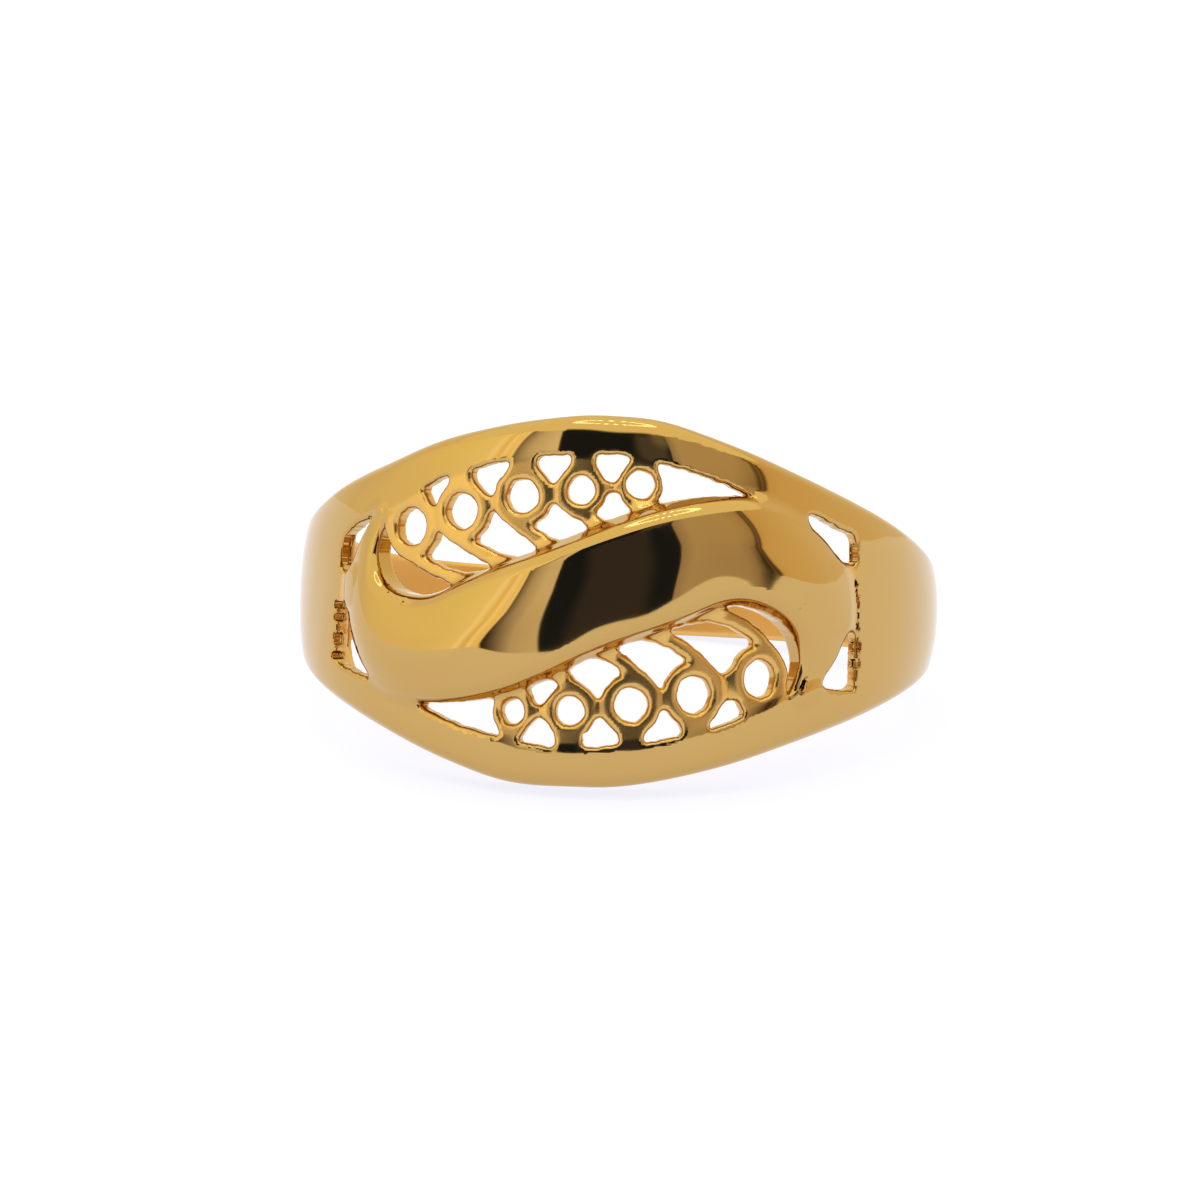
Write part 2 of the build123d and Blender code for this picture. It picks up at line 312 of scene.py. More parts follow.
bandStations = np.concatenate([[0], np.cumsum(np.hypot(*np.diff(bandMiddle, axis=0).T))])
lowerLine, upperLine = Outline(bandStations, bandRows[:, 0:2]), Outline(bandStations, bandRows[:, 2:4])
bandCrest, bandLower, bandUpper = (Smooth(bandStations, column) for column in bandRows[:, 4:].T)


def bandShape(u, v):  # its plan, the height of its top, and the rounding of its edge
    lowerStation, fromLower, pastLower = lowerLine.near(u, v)
    upperStation, fromUpper, pastUpper = upperLine.near(u, v)
    fromUpper = -fromUpper
    nearLower, nearUpper = (np.maximum(gap, sBand["leastGap"]) for gap in (fromLower, fromUpper))
    lowerShare = nearUpper / (nearLower + nearUpper)
    crest = bandCrest.at(lowerStation * lowerShare + upperStation * (1 - lowerShare))
    lowerHeight, upperHeight = bandLower.at(lowerStation), bandUpper.at(upperStation)
    lowerFall, upperFall = (
        np.clip(1 - gap / sBand["fallReach"], 0, sBand["fallEnd"]) ** 2 for gap in (fromLower, fromUpper)
    )
    past = np.maximum(pastLower, pastUpper)
    top = crest - (crest - lowerHeight) * lowerFall - (crest - upperHeight) * upperFall
    top = top - sBand["endFall"] * past
    edge = lowerHeight * lowerShare + upperHeight * (1 - lowerShare)
    endReach, endSteepness = sBand["endReach"]
    sides = -np.minimum(fromLower, fromUpper) - sBand["flank"][0] * edge
    low, growth = sBand["shoulder"]
    return np.maximum(sides, (past - endReach) * endSteepness), top, low + growth * edge


def bandField(shape, h):
    plan, top, shoulder = shape
    lean = sBand["flank"][1]
    flank = (plan + lean * np.maximum(h, 0)) / math.hypot(1, lean)
    skin = roundMeet(flank, h - top, shoulder)
    shell = roundMeet(skin, -(skin + sBand["wall"]), sBand["innerRound"])
    return roundMeet(shell, sBand["foot"] - h, sBand["footRound"])


# The scroll fields: rings of wire with tails, links and ties

scrollWork = {
    "below": 0.03,  # the wires' tops below the rim's surface
    "linkBelow": 0.2,
    "dome": 0.05,  # fall from a wire's middle to its edge
    "domeHalf": 0.25,
    "runIn": (-0.1, 0.5),  # where they leave the rim's surface and reach that depth, from its edge
    "tieOverlap": 0.4,  # how far a tie runs into the rim
    "web": 0.16,  # fillets between the wires, seen from the front
    "gapRound": 0.12,  # corners of the gaps
    "thinned": 0.02,  # what the file took off each side
    "clear": (0.05, 0.1),  # how far the band's fillet may run into a gap, and its rounding there
}
# Each ring: u, v, width and height of its hole, its wire, then its tie to the rim: heading and width.
# Each tail: heading where it leaves its ring, the middle and the end of its bow, its width.
# Each link: the width of the bar from this ring to the next.
# The lower field is given after half a turn.
upperField = {
    "rings": [
        (-5.54, 1.95, 1.08, 1.0, 0.48, 108, 1.6),
        (-3.72, 2.46, 0.95, 0.95, 0.46, 95, 0.85),
        (-1.8, 2.97, 0.9, 0.9, 0.46, 92, 0.9),
        (-0.07, 3.2, 0.7, 0.74, 0.42, 88, 0.8),
        (1.64, 3.43, 0.74, 0.72, 0.31, 86, 0.85),
    ],
    "tails": [
        (190, -5.26, 1.0, -2.9, 0.5, 0.46),
        (215, -3.1, 1.3, -1.3, 0.9, 0.5),
        (214, -1.5, 1.88, -0.1, 1.3, 0.5),
        (216, 0.0, 2.5, 1.2, 1.85, 0.46),
        (233, 1.6, 2.8, 2.35, 2.25, 0.42),
    ],
    "links": [0.8, 0.5, 0.62, 0.34],
}
lowerField = {
    "rings": [
        (-5.51, 2.04, 0.92, 1.0, 0.5, 108, 1.6),
        (-3.47, 2.57, 0.92, 1.0, 0.48, 95, 0.9),
        (-1.64, 2.94, 0.88, 0.9, 0.48, 92, 0.8),
        (0.12, 3.19, 0.74, 0.76, 0.42, 90, 0.9),
        (1.81, 3.28, 0.62, 0.66, 0.36, 84, 0.7),
    ],
    "tails": [
        (190, -5.45, 0.86, -2.9, 0.4, 0.5),
        (215, -3.0, 1.2, -1.15, 0.78, 0.5),
        (214, -1.42, 1.8, 0.05, 1.18, 0.5),
        (216, 0.14, 2.42, 1.3, 1.8, 0.46),
        (233, 1.68, 2.66, 2.4, 2.1, 0.42),
    ],
    "links": [0.85, 0.52, 0.56, 0.46],
}


def barPlan(u, v, start, end, width):
    runU, runV = end[0] - start[0], end[1] - start[1]
    part = ((u - start[0]) * runU + (v - start[1]) * runV) / (runU ** 2 + runV ** 2)
    part = np.clip(part, 0, 1)
    return np.hypot(u - start[0] - part * runU, v - start[1] - part * runV) - width / 2


def bowPlan(u, v, start, middle, end, width):  # an arc through three points
    points = np.array([start, middle, end])
    sides = np.array([points[1] - points[0], points[2] - points[0]])
    centre = points[0] + np.linalg.solve(2 * sides, (sides ** 2).sum(1))
    radius = np.hypot(*(points[0] - centre))
    turns = np.arctan2(points[:, 1] - centre[1], points[:, 0] - centre[0])
    halfTurn = abs((turns[2] - turns[0] + np.pi) % (2 * np.pi) - np.pi) / 2
    facing = turns[0] + ((turns[2] - turns[0] + np.pi) % (2 * np.pi) - np.pi) / 2
    turn = (np.arctan2(v - centre[1], u - centre[0]) - facing + np.pi) % (2 * np.pi) - np.pi
    onArc = np.abs(np.hypot(u - centre[0], v - centre[1]) - radius)
    toEnds = np.minimum(
        np.hypot(u - points[0, 0], v - points[0, 1]), np.hypot(u - points[2, 0], v - points[2, 1])
    )
    return np.where(np.abs(turn) <= halfTurn, onArc, toEnds) - width / 2


def wireRing(u, v, ring, grow=0.0):  # distance from an oval of a ring's hole, grown a little
    x, y, wide, high = ring[:4]
    across, along = wide / 2 + grow, high / 2 + grow
    share = np.hypot((u - x) / across, (v - y) / along)
    return share * (share - 1) / np.maximum(np.hypot((u - x) / across ** 2, (v - y) / along ** 2), tiny)


def scrollPlans(u, v, field, rimEdge):  # the wires' plan, and the plan with their lower links
    web = scrollWork["web"]
    wires = links = holes = np.full(np.shape(u + v), farAway)
    for ring, tail in zip(field["rings"], field["tails"]):
        x, y, wide, high, wire, tieHeading, tie = ring
        wires = roundJoin(wires, np.abs(wireRing(u, v, ring, wire / 2)) - wire / 2, web)
        heading = math.radians(tieHeading)
        reach = (high + wire) / 2
        start = (x + reach * math.cos(heading), y + reach * math.sin(heading))
        run = (rimEdge.at(start[0]) + scrollWork["tieOverlap"] - start[1]) / math.sin(heading)
        end = (start[0] + run * math.cos(heading), start[1] + run * math.sin(heading))
        wires = roundJoin(wires, barPlan(u, v, start, end, tie), web)
        leaves, midU, midV, endU, endV, width = tail
        leave = math.radians(leaves)
        start = (x + (wide + wire) / 2 * math.cos(leave), y + reach * math.sin(leave))
        wires = roundJoin(wires, bowPlan(u, v, start, (midU, midV), (endU, endV), width), web)
        holes = np.minimum(holes, wireRing(u, v, ring))
    for one, other, width in zip(field["rings"], field["rings"][1:], field["links"]):
        links = np.minimum(links, barPlan(u, v, one[:2], other[:2], width))
    both = roundJoin(wires, links, web)
    return np.maximum(wires, -holes), np.maximum(both, -holes)


def allScrollPlans(u, v):
    upper = scrollPlans(u, v, upperField, windowUpper)
    lower = scrollPlans(-u, -v, lowerField, windowLower)
    return [np.minimum(a, b) for a, b in zip(upper, lower)]


def scrollDrop(wires, inward):  # how far the wires' tops lie below the rim's surface
    dome = scrollWork["dome"] * np.maximum(1 + wires / scrollWork["domeHalf"], 0) ** 2
    depth = scrollWork["below"] + np.minimum(dome, scrollWork["linkBelow"])
    return fade(inward, *scrollWork["runIn"]) * depth


# Where each lobe is fused to the window's end: u, v, half length, half height

fuse = {
    "places": [
        (-8.45, 0.11, 0.95, 0.5), (8.45, 0.43, 0.95, 1.0),
        (6.03, 2.95, 0.93, 0.5), (-6.0, -2.95, 1.02, 0.5),
    ],
    "round": 0.22,
    "join": 0.15,
}


def fusePlan(u, v):
    plans = [
        roundMeet(np.abs(u - x) - halfLength, np.abs(v - y) - halfHeight, fuse["round"])
        for x, y, halfLength, halfHeight in fuse["places"]
    ]
    return np.minimum.reduce(plans)


# What the hand left: uneven filed edges, polishing waves, and marks in the surface

handMade = {
    "edge": 0.018,
    # each a product of two waves: size, then what u, v and 1 count for in the one and in the other
    "edgeWaves": [
        (1.0, (7.1, 2.3, 0.4), (-1.7, 6.3, 1.1)),
        (0.6, (13.7, -4.1, 0.0), (3.3, 11.9, 2.0)),
        (0.4, (23.0, 9.0, 0.7), (-8.0, 21.0, 0.0)),
    ],
    "polish": 0.004,
    "polishWaves": [(1.0, (1.9, 0.8, 0.3), (-0.5, 1.5, 0.0)), (0.5, (3.7, -1.6, 1.9), (0, 0, math.pi / 2))],
    "polishEnds": (75, 55),  # degrees from the head's middle, where it is none and full
    # u and v of both ends, width, depth
    "marks": [
        (9.26, -1.56, 9.26, -1.4, 0.1, 0.1), (9.25, -1.1, 9.26, -0.9, 0.1, 0.12),
        (9.1, -0.5, 9.09, -0.3, 0.09, 0.1), (9.09, -0.16, 9.1, 0.04, 0.08, 0.1),
        (9.09, 0.18, 9.07, 0.36, 0.1, 0.1), (9.04, 0.5, 8.98, 0.66, 0.09, 0.12),
        (8.97, 0.8, 8.95, 0.95, 0.08, 0.1), (7.02, -1.98, 6.9, -2.3, 0.09, 0.16),
        (0.36, -3.9, 0.37, -3.9, 0.2, 0.7),
    ],
    "markFloor": 0.03,  # rounding of a mark's floor and of its edge
    "markEdge": 0.02,
}


def crossedWaves(rows, u, v):
    return sum(
        size * np.sin(oneU * u + oneV * v + one) * np.sin(otherU * u + otherV * v + other)
        for size, (oneU, oneV, one), (otherU, otherV, other) in rows
    )


def cutMarks(metal, u, v):
    for fromU, fromV, toU, toV, width, depth in handMade["marks"]:
        mark = barPlan(u, v, (fromU, fromV), (toU, toV), width)
        dent = roundMeet(mark, -(metal + depth), handMade["markFloor"])
        metal = roundMeet(metal, -dent, handMade["markEdge"])
    return metal


def ringField(u, v, h):
    u = (u + wholeTurn / 2) % wholeTurn - wholeTurn / 2
    rough = handMade["edge"] * crossedWaves(handMade["edgeWaves"], u, v)
    polished = fade(np.abs(u), *[degreesToU(angle) for angle in handMade["polishEnds"]])
    h = h + handMade["polish"] * polished * crossedWaves(handMade["polishWaves"], u, v)
    opening = roundMeet(windowPlan(u, v, h), -fusePlan(u, v), fuse["join"])  # less its fused places
    wires, scrolls = allScrollPlans(u, v)
    scrolls = scrolls + scrollWork["thinned"]
    cut = roundMeet(opening, -scrolls, scrollWork["gapRound"])  # what is sawn out between the wires
    metal = shankField(u, v, h, scrollDrop(wires, -opening))
    metal = roundMeet(metal, -(cut + rough), window["edgeRound"])
    shape = bandShape(u, v)
    atEnds = fade(np.abs(u), *sBand["joinChange"])
    fillet = sBand["join"] + (sBand["joinAtEnds"] - sBand["join"]) * atEnds
    metal = roundJoin(metal, bandField(shape, h), fillet)
    # the gaps are sawn again where the fillet ran into them
    gaps = roundMeet(opening, -np.minimum(scrolls, shape[0]), scrollWork["gapRound"])
    clear, clearRound = scrollWork["clear"]
    metal = roundMeet(metal, -(gaps + rough + clear), clearRound)
    metal = roundMeet(metal, -(pitField(u, v, h) + rough), window["pitEdge"])
    return cutMarks(metal, u, v)


# Turning the field into a mesh

sheet = {
    "fineStep": 0.086,  # mm
    "coarseStep": 0.3,
    "rimStep": 0.13,
    "growth": 1.06,  # of each step to the next, away from the front
    "fineReach": 9.7,  # u of the finely cut front
    "fineHeight": 4.4,  # and its height each way
    "lowest": -1.85,  # h and v where the sheet ends
    "highest": 1.05,
    "widest": 5.55,
    "blocks": 12,  # the field is worked out in so many parts, to spare memory
    "slopeStep": 0.004,
    "leastSlope": 0.25,  # squared, against long moves in the corners of the field
    "farthestMove": 0.03,
    "spreads": (0.5, 0.5, 0),  # each round's move of a point to the middle of its neighbours
}


def sheetAxes():
    fine = np.arange(-sheet["fineReach"], sheet["fineReach"] + tiny, sheet["fineStep"])
    left = wholeTurn / 2 - sheet["fineReach"]
    steps, gone, step = [], 0.0, sheet["fineStep"]
    while gone < left:
        step = min(step * sheet["growth"], sheet["coarseStep"])
        steps.append(step)
        gone += step
    steps = np.array(steps + steps[::-1])
    steps *= 2 * left / steps.sum()
    around = np.concatenate([fine, fine[-1] + np.cumsum(steps)[:-1]])
    inner = np.arange(-sheet["fineHeight"], sheet["fineHeight"], sheet["fineStep"])
    outer = np.arange(sheet["fineHeight"], sheet["widest"], sheet["rimStep"])
    across = np.concatenate([-outer[::-1], inner[1:], outer])
    height = np.arange(sheet["lowest"], sheet["highest"], sheet["fineStep"])
    return around, across, height


def sheetMesh(field, axes):
    # one point in each cell that the surface crosses, and a face round each crossed edge
    around, across, height = axes
    counts = [len(around), len(across), len(height)]
    inside = field < 0
    wrapped = np.concatenate([inside, inside[:1]])  # the sheet closes on itself round the finger
    corners = [
        wrapped[i:i + counts[0], j:j + counts[1] - 1, k:k + counts[2] - 1]
        for i in (0, 1) for j in (0, 1) for k in (0, 1)
    ]
    total = sum(c.astype(np.int8) for c in corners)
    cells = np.argwhere((total > 0) & (total < 8))
    number = np.full((counts[0], counts[1] - 1, counts[2] - 1), -1)
    number[tuple(cells.T)] = np.arange(len(cells))
    ends = np.concatenate([around, [around[0] + wholeTurn]])
    summed, found = np.zeros((len(cells), 3)), np.zeros(len(cells))
    offsets = [(i, j, k) for i in (0, 1) for j in (0, 1) for k in (0, 1)]
    for low in offsets:
        for axis in range(3):
            if low[axis]:
                continue
            high = list(low)
            high[axis] = 1
            a, b = cells + low, cells + high
            valueA = field[a[:, 0] % counts[0], a[:, 1], a[:, 2]]
            valueB = field[b[:, 0] % counts[0], b[:, 1], b[:, 2]]
            crossed = (valueA < 0) != (valueB < 0)
            part = np.where(crossed, valueA / np.where(crossed, valueA - valueB, 1), 0)[:, None]
            placeA = np.stack([ends[a[:, 0]], across[a[:, 1]], height[a[:, 2]]], 1)
            placeB = np.stack([ends[b[:, 0]], across[b[:, 1]], height[b[:, 2]]], 1)
            summed += np.where(crossed[:, None], placeA + part * (placeB - placeA), 0)
            found += crossed
    places = summed / found[:, None]
    faces = []
    for axis in range(3):
        one, two = [(1, 2), (2, 0), (0, 1)][axis]
        after = np.roll(inside, -1, axis) if axis == 0 else np.take(inside, range(1, counts[axis]), axis)
        before = inside if axis == 0 else np.take(inside, range(counts[axis] - 1), axis)
        edges = np.argwhere(before != after)
        flip = before[tuple(edges.T)]
        ring = []
        for stepOne, stepTwo in ((0, 0), (-1, 0), (-1, -1), (0, -1)):
            cell = edges.copy()
            cell[:, one] += stepOne
            cell[:, two] += stepTwo
            cell[:, 0] %= counts[0]
            ring.append(number[tuple(cell.T)])
        ring = np.stack(ring, 1)
        ring[~flip] = ring[~flip][:, ::-1]
        faces.append(ring)
    return places, np.concatenate(faces)


def bendRound(places):  # from the sheet to the ring with its axis upright
    u, v, h = places.T
    reach = crownRadius(u) + h
    return np.stack([reach * np.sin(u / unroll), -reach * np.cos(u / unroll), v], 1)


def fieldAt(points):
    x, y, z = points.T
    u = unroll * np.arctan2(x, -y)
    return ringField(u, z, np.hypot(x, y) - crownRadius(u))


def satinAndPaintedGlowAt(points, normals):  # 1 inside the ring and less on the wires, where the mop hardly reaches: there the satin finish, and a brighter, warmer painted glow in the colour
    x, y, z = points.T
    u = unroll * np.arctan2(x, -y)
    wires = fade(-windowPlan(u, z), *gold["fromRim"]) * fade(bandShape(u, z)[0], *gold["fromBand"])
    facing = (normals[:, 0] * x + normals[:, 1] * y) / np.hypot(x, y)
    return np.maximum(gold["onWires"] * wires, fade(-facing, *gold["facingIn"]))


def slopeAt(points):
    step = sheet["slopeStep"]
    shifts = np.eye(3) * step
    return np.stack([(fieldAt(points + s) - fieldAt(points - s)) / (2 * step) for s in shifts], 1)


def layDown():  # the upright ring's place and lean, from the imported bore
    along = Vector(mount["axis"]).normalized()
    right = Vector((1, 0, 0))
    turned = Matrix((right, along.cross(right), along)).transposed()
    return Matrix.Translation(Vector(mount["pos_m"])) @ turned.to_4x4() @ Matrix.Scale(millimetre, 4)


def betweenNeighbours(points, faces):
    starts, ends = faces.ravel(), np.roll(faces, -1, 1).ravel()
    count = len(points)
    found = np.bincount(starts, minlength=count) + np.bincount(ends, minlength=count)
    summed = [
        np.bincount(starts, column[ends], count) + np.bincount(ends, column[starts], count)
        for column in points.T
    ]
    return np.stack(summed, 1) / found[:, None]


def buildRing():
    axes = sheetAxes()
    u, v, h = np.meshgrid(*axes, indexing="ij", sparse=True)
    blocks = [ringField(part, v, h) for part in np.array_split(u, sheet["blocks"])]
    print("field worked out at", sum(block.size for block in blocks), "places")
    places, faces = sheetMesh(np.concatenate(blocks), axes)
    points = bendRound(places)
    for spread in sheet["spreads"]:  # onto the surface, and evenly spread along it
        slope = slopeAt(points)
        steep = np.maximum((slope ** 2).sum(1), sheet["leastSlope"])[:, None]
        move = fieldAt(points)[:, None] / steep * slope
        points -= np.clip(move, -sheet["farthestMove"], sheet["farthestMove"])
        shift = betweenNeighbours(points, faces) - points
        points += spread * (shift - (shift * slope).sum(1)[:, None] / steep * slope)
    normals = slopeAt(points)
    normals /= np.linalg.norm(normals, axis=1)[:, None]
    mesh = bpy.data.meshes.new("goldRing")
    laid = layDown()
    mesh.from_pydata([laid @ Vector(p) for p in points], [], faces.tolist())
    mesh.shade_smooth()
    spin = laid.to_3x3() * (1 / millimetre)
    mesh.normals_split_custom_set_from_vertices([spin @ Vector(n) for n in normals])
    mesh.attributes.new("pierced", "FLOAT", "POINT").data.foreach_set("value", satinAndPaintedGlowAt(points, normals))
    ring = bpy.data.objects.new("goldRing", mesh)
    bpy.context.scene.collection.objects.link(ring)
    return ring


# 22 carat gold, cast, pierced and mopped bright: a warm mirror, satin where the mop can't reach, and there
# a brighter, warmer colour painted on for the glow of light reflected in the recesses
gold = {
    "colour": "#C7A260",
    # painted glow: a brighter, warmer gold where the mop can't reach, standing in for light reflected
    # inside the recesses and the bore
    "piercedPaintedGlowColour": "#E6B769",
    "onWires": 0.6,  # how far the wires are like the inside
    "fromRim": (0.02, 0.15),  # mm from the rim, where that begins and is full
    "fromBand": (0.0, 0.15),
    "facingIn": (0.0, 0.5),  # how squarely a surface faces the finger, where the inside's satin finish and painted glow begin
    "roughness": 0.045,
    "piercedRoughness": 0.4,
    # size in mm, detail of the noise, depth in mm
    "ripple": (1.6, 1.0, 0.0015),  # what the mop leaves
    "grain": (0.35, 4.0, 0.003),  # the cast skin left in the recesses
}


def goldMaterial():
    material = bpy.data.materials.new("gold 22ct, cast and mopped bright")
    material.use_nodes = True
    tree = material.node_tree
    shader = tree.nodes["Principled BSDF"]
    shader.inputs["Metallic"].default_value = 1.0
    pierced = addNode(tree, "ShaderNodeAttribute", {"attribute_name": "pierced"}).outputs["Fac"]
    # the satin places also get the brighter gold: a painted glow of reflected light, while their roughness
    # is the real satin finish
    colours = {6: linearColour(gold["colour"]), 7: linearColour(gold["piercedPaintedGlowColour"])}
    colour = addNode(tree, "ShaderNodeMix", {"data_type": "RGBA", 0: pierced, **colours})
    tree.links.new(colour.outputs[2], shader.inputs["Base Color"])
    dulled = {"To Min": gold["roughness"], "To Max": gold["piercedRoughness"]}
    roughness = addNode(tree, "ShaderNodeMapRange", {"Value": pierced, **dulled})
    tree.links.new(roughness.outputs[0], shader.inputs["Roughness"])
    place = addNode(tree, "ShaderNodeTexCoord").outputs["Object"]
    normal = {}
    for (size, detail, depth), strength in ((gold["ripple"], 1.0), (gold["grain"], pierced)):
        pattern = {"Vector": place, "Scale": 1 / (size * millimetre), "Detail": detail}
        height = addNode(tree, "ShaderNodeTexNoise", pattern).outputs[0]
        bump = {"Height": height, "Distance": depth * millimetre, "Strength": strength, **normal}
        normal = {"Normal": addNode(tree, "ShaderNodeBump", bump).outputs[0]}
    tree.links.new(normal["Normal"], shader.inputs["Normal"])
    return material


ring = buildRing()
print("ring", len(ring.data.polygons) * 2, "triangles")
ring.data.materials.append(goldMaterial())
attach(ring, "root")
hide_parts("gold_ring")

# Pale floor: a sheet of opal acrylic, lit a little from below so that it stays white round the ring
floorSheet = {"half": 1.2, "colour": "#808288", "roughness": 0.9, "glowColour": "#F0F2FF", "glow": 0.89}


def addFloor():
    half = floorSheet["half"]
    mesh = bpy.data.meshes.new("floor")
    corners = [(-half, -half, 0), (half, -half, 0), (half, half, 0), (-half, half, 0)]
    mesh.from_pydata(corners, [], [(0, 1, 2, 3)])
    material = bpy.data.materials.new("opal acrylic sheet, matt")
    material.use_nodes = True
    shader = material.node_tree.nodes["Principled BSDF"]
    shader.inputs["Base Color"].default_value = linearColour(floorSheet["colour"])
    shader.inputs["Roughness"].default_value = floorSheet["roughness"]
    shader.inputs["Emission Color"].default_value = linearColour(floorSheet["glowColour"])
    shader.inputs["Emission Strength"].default_value = floorSheet["glow"]
    mesh.materials.append(material)
    floor = bpy.data.objects.new("floor", mesh)
    bpy.context.scene.collection.objects.link(floor)
    return floor


floor = addFloor()
print("floor laid")

# Camera, square to the finger's axis
view = {
    "turn": 6.8,  # degrees round the ring, from the middle of the head
    "roll": 2.5,
    "distance": 220.0,  # mm from the finger's axis
    "frameWidth": 36.36,  # mm seen at the axis
    "framePixels": 1200,
    "offCentre": (19.0, 2.5),  # pixels that the axis lies right of and below the frame's middle
    "sensor": 36,
    "clip": (0.01, 10),  # m
}


def addCamera():
    laid = layDown()
    turn, roll = math.radians(view["turn"]), math.radians(view["roll"])
    away = Vector((math.sin(turn), -math.cos(turn), 0))
    right = Vector((math.cos(turn), math.sin(turn), 0))
    up = Vector((0, 0, 1))
    cosine, sine = math.cos(roll), math.sin(roll)
    right, up = right * cosine + up * sine, up * cosine - right * sine
    pixel = view["frameWidth"] / view["framePixels"]
    offRight, offDown = (part * pixel for part in view["offCentre"])
    place = away * view["distance"] - right * offRight + up * offDown
    turned = laid.to_3x3() * (1 / millimetre)
    camera = bpy.data.objects.new("camera", bpy.data.cameras.new("camera"))
    bpy.context.scene.collection.objects.link(camera)
    facing = Matrix((turned @ right, turned @ up, turned @ away)).transposed()
    camera.matrix_world = Matrix.Translation(laid @ place) @ facing.to_4x4()
    camera.data.sensor_width = view["sensor"]
    camera.data.lens = view["sensor"] * view["distance"] / view["frameWidth"]
    camera.data.clip_start, camera.data.clip_end = view["clip"]
    bpy.context.scene.camera = camera


addCamera()
print("camera set")

# A light tent round the ring, open towards the camera
tent = {
    "turn": 7.0,  # degrees: the opening is this far to the right of the ring's front
    "walled": 120,  # degrees to each side that the walls' shades are given for
    # degrees round from the opening, then the wall's shade near the floor and higher up
    "walls": [
        (-120, "#D8D2BC", "#DCD6BC"), (-105, "#E2DDC2", "#E6E2C0"), (-75, "#E8E2C2", "#EDECBE"),
        (-61, "#F2ECC8", "#F6F0CC"), (-58, "#FFFFF4", "#FFFFF0"), (-55, "#EEE2B0", "#F6ECB8"),
        (-53, "#E6CE8C", "#EEDA9C"), (-51, "#FFFFF0", "#FFFFEC"), (-48, "#F6E4A8", "#FAE8AC"),
        (-46, "#F4ECC8", "#FFFFF0"), (-45.2, "#2E2824", "#6E6660"),
        (-43.6, "#3C3632", "#A09A94"), (-40, "#746E70", "#CDC9C8"), (-32, "#BEBABC", "#E2DEDC"),
        (-18, "#D2CEC8", "#E6E2DC"), (24, "#9C908A", "#948A84"), (30, "#AFA49C", "#B5AA9C"),
        (48, "#A89C92", "#B5A893"), (53, "#978B82", "#AEA089"), (57.5, "#5A524C", "#A6977F"),
        (59.5, "#2E2420", "#4E3C34"), (61, "#6A5A4C", "#8A765E"), (62.5, "#241A16", "#3A2C24"),
        (64.5, "#CDB894", "#C8B48C"), (70, "#D4C29C", "#CFBC94"), (120, "#D6CDB8", "#D8CEB4"),
    ],
    "wallHeights": (5, 31),  # degrees above the floor, of those two shades
    "opening": (-18.8, 24.2),  # degrees, its left edge at the floor and its right edge
    "openingSoft": (0.6, 0.4),  # degrees each side of those edges
    "openingLean": 0.35,
    "openingTop": (39.5, 41.5),
    "openingShade": "#1B2030",
    "seam": (18, 0.75),  # the right hand seam leans away above this height, by so much
    "seamed": (35.0, 58.0),  # degrees round, where that lean begins and is full
    "roof": "#EAE6C8",
    # dim shapes inside the opening: degrees round, degrees up, half width, half height, shade
    "inside": [(1, 8, 13, 14, "#343440"), (15, 30, 7, 9, "#4A4A50"), (20.5, 38, 4, 5, "#6E6C68")],
    "insideSoft": 3,  # degrees
    # the row of small lamps in the roof: degrees up, half height, apart, half width, then brightness
    "lamps": (76, 2.5, 12, 2, 4.0),
    "lampSoft": 0.5,
    "light": 1.5,
}


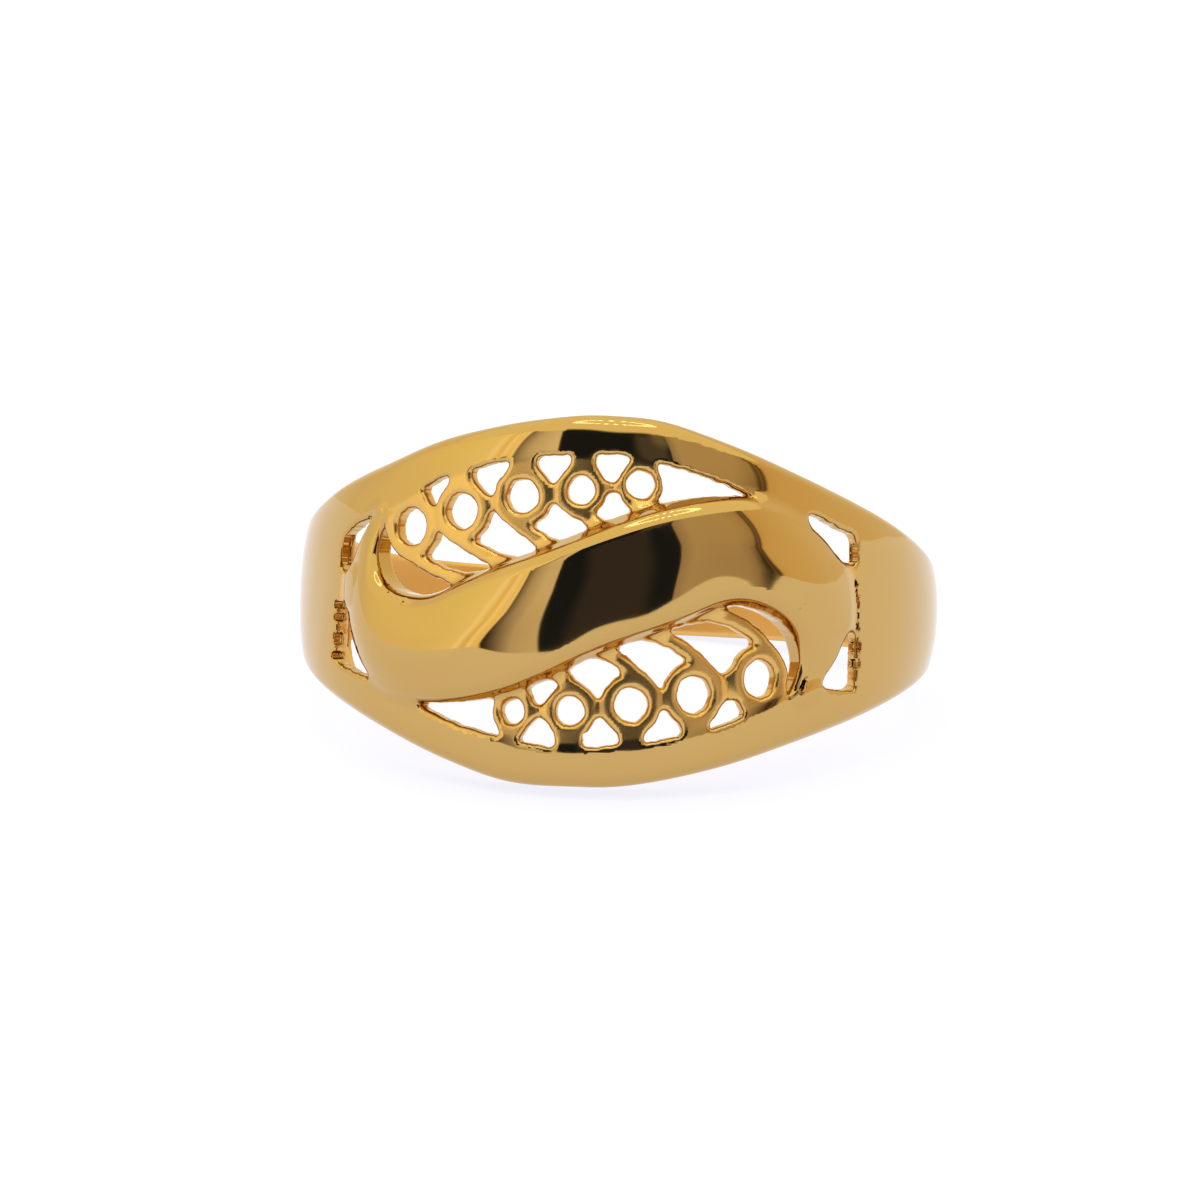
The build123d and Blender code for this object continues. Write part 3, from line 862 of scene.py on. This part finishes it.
def addTent():
    world = bpy.data.worlds.new("light tent")
    bpy.context.scene.world = world
    world.use_nodes = True
    tree = world.node_tree
    place = addNode(tree, "ShaderNodeTexCoord").outputs["Generated"]
    turn = {"rotation_type": "Z_AXIS", "Angle": math.radians(-tent["turn"])}
    turned = addNode(tree, "ShaderNodeVectorRotate", {**turn, "Vector": place}).outputs[0]
    parts = addNode(tree, "ShaderNodeSeparateXYZ", {0: turned})
    made = {name: parts.outputs[name.upper()] for name in "xyz"}
    walled = tent["walled"]
    low, high = tent["wallHeights"]
    seamHeight, seamLean = tent["seam"]
    left, right = tent["opening"]
    softLeft, softRight = tent["openingSoft"]
    topStart, topEnd = tent["openingTop"]
    seamStart, seamEnd = tent["seamed"]
    soft = {"interpolation_type": "SMOOTHSTEP"}
    steps = [  # what it makes, the kind of node, its settings: words stand for what is made above
        ("front", "ShaderNodeMath", {"operation": "MULTIPLY", 0: "y", 1: -1.0}),
        ("radiansRound", "ShaderNodeMath", {"operation": "ARCTAN2", 0: "x", 1: "front"}),
        ("round", "ShaderNodeMath", {"operation": "DEGREES", 0: "radiansRound"}),
        ("radiansUp", "ShaderNodeMath", {"operation": "ARCSINE", 0: "z"}),
        ("up", "ShaderNodeMath", {"operation": "DEGREES", 0: "radiansUp"}),
        ("aboveSeam", "ShaderNodeMapRange", {
            "Value": "up", "From Min": seamHeight, "From Max": 90.0, "To Max": 90.0 - seamHeight,
        }),
        ("nearSeam", "ShaderNodeMapRange", {
            **soft, "Value": "round", "From Min": seamStart, "From Max": seamEnd, "To Max": seamLean,
        }),
        ("seamed", "ShaderNodeMath", {"operation": "MULTIPLY", 0: "aboveSeam", 1: "nearSeam"}),
        ("wallRound", "ShaderNodeMath", {"operation": "SUBTRACT", 0: "round", 1: "seamed"}),
        ("wallShare", "ShaderNodeMapRange", {
            "Value": "wallRound", "From Min": -walled, "From Max": walled,
        }),
        ("lowWalls", "ShaderNodeValToRGB", {"Fac": "wallShare"}),
        ("highWalls", "ShaderNodeValToRGB", {"Fac": "wallShare"}),
        ("wallHeight", "ShaderNodeMapRange", {**soft, "Value": "up", "From Min": low, "From Max": high}),
        ("walls", "ShaderNodeMix", {"data_type": "RGBA", 0: "wallHeight", 6: "lowWalls", 7: "highWalls"}),
        ("leftLean", "ShaderNodeMath", {
            "operation": "MULTIPLY_ADD", 0: "up", 1: tent["openingLean"], 2: "round",
        }),
        ("inLeft", "ShaderNodeMapRange", {
            **soft, "Value": "leftLean", "From Min": left - softLeft, "From Max": left + softLeft,
        }),
        ("inRight", "ShaderNodeMapRange", {
            **soft, "Value": "round", "From Min": right + softRight, "From Max": right - softRight,
        }),
        ("inOpening", "ShaderNodeMath", {"operation": "MULTIPLY", 0: "inLeft", 1: "inRight"}),
        ("inRoof", "ShaderNodeMapRange", {**soft, "Value": "up", "From Min": topStart, "From Max": topEnd}),
    ]
    dark = linearColour(tent["openingShade"])
    softInside = tent["insideSoft"]
    for x, y, halfWide, halfHigh, shade in tent["inside"]:
        fadeRound = {"From Min": halfWide + softInside, "From Max": halfWide - softInside}
        fadeUp = {"From Min": halfHigh + softInside, "From Max": halfHigh - softInside}
        steps += [
            ("aside", "ShaderNodeMath", {"operation": "SUBTRACT", 0: "round", 1: x}),
            ("asideBy", "ShaderNodeMath", {"operation": "ABSOLUTE", 0: "aside"}),
            ("above", "ShaderNodeMath", {"operation": "SUBTRACT", 0: "up", 1: y}),
            ("aboveBy", "ShaderNodeMath", {"operation": "ABSOLUTE", 0: "above"}),
            ("wideShare", "ShaderNodeMapRange", {**soft, "Value": "asideBy", **fadeRound}),
            ("highShare", "ShaderNodeMapRange", {**soft, "Value": "aboveBy", **fadeUp}),
            ("lit", "ShaderNodeMath", {"operation": "MULTIPLY", 0: "wideShare", 1: "highShare"}),
            ("dark", "ShaderNodeMix", {"data_type": "RGBA", 0: "lit", 6: dark, 7: linearColour(shade)}),
        ]
        dark = "dark"
    lampsUp, lampHigh, apart, lampWide, bright = tent["lamps"]
    softLamp = tent["lampSoft"]
    roof, lampLight = linearColour(tent["roof"]), (bright, bright, bright, 1)
    steps += [
        ("fromLamp", "ShaderNodeMath", {"operation": "PINGPONG", 0: "round", 1: apart / 2}),
        ("aboveLamps", "ShaderNodeMath", {"operation": "SUBTRACT", 0: "up", 1: lampsUp}),
        ("aboveLampsBy", "ShaderNodeMath", {"operation": "ABSOLUTE", 0: "aboveLamps"}),
        ("lampRound", "ShaderNodeMapRange", {
            "Value": "fromLamp", "From Min": lampWide + softLamp, "From Max": lampWide - softLamp,
        }),
        ("lampUp", "ShaderNodeMapRange", {
            "Value": "aboveLampsBy", "From Min": lampHigh + softLamp, "From Max": lampHigh - softLamp,
        }),
        ("lamp", "ShaderNodeMath", {"operation": "MULTIPLY", 0: "lampRound", 1: "lampUp"}),
        ("opened", "ShaderNodeMix", {"data_type": "RGBA", 0: "inOpening", 6: "walls", 7: dark}),
        ("roofed", "ShaderNodeMix", {"data_type": "RGBA", 0: "inRoof", 6: "opened", 7: roof}),
        ("seen", "ShaderNodeMix", {"data_type": "RGBA", 0: "lamp", 6: "roofed", 7: lampLight}),
    ]
    for name, kind, settings in steps:
        words = {key: value for key, value in settings.items() if isinstance(value, str)}
        linked = {key: made[word] for key, word in words.items() if word in made}
        node = addNode(tree, kind, {**settings, **linked})
        made[name] = node.outputs[2 if kind == "ShaderNodeMix" else 0]
        if kind == "ShaderNodeValToRGB":
            ramp, shades = node.color_ramp, 1 if name == "lowWalls" else 2
            for number, row in enumerate(tent["walls"]):
                position = row[0] / walled / 2 + 0.5
                stop = ramp.elements[number] if number < 2 else ramp.elements.new(position)
                stop.position, stop.color = position, linearColour(row[shades])
    background = tree.nodes["Background"]
    tree.links.new(made["seen"], background.inputs["Color"])
    background.inputs["Strength"].default_value = tent["light"]


addTent()
print("tent lit")
bpy.context.scene.view_settings.view_transform = "Standard"
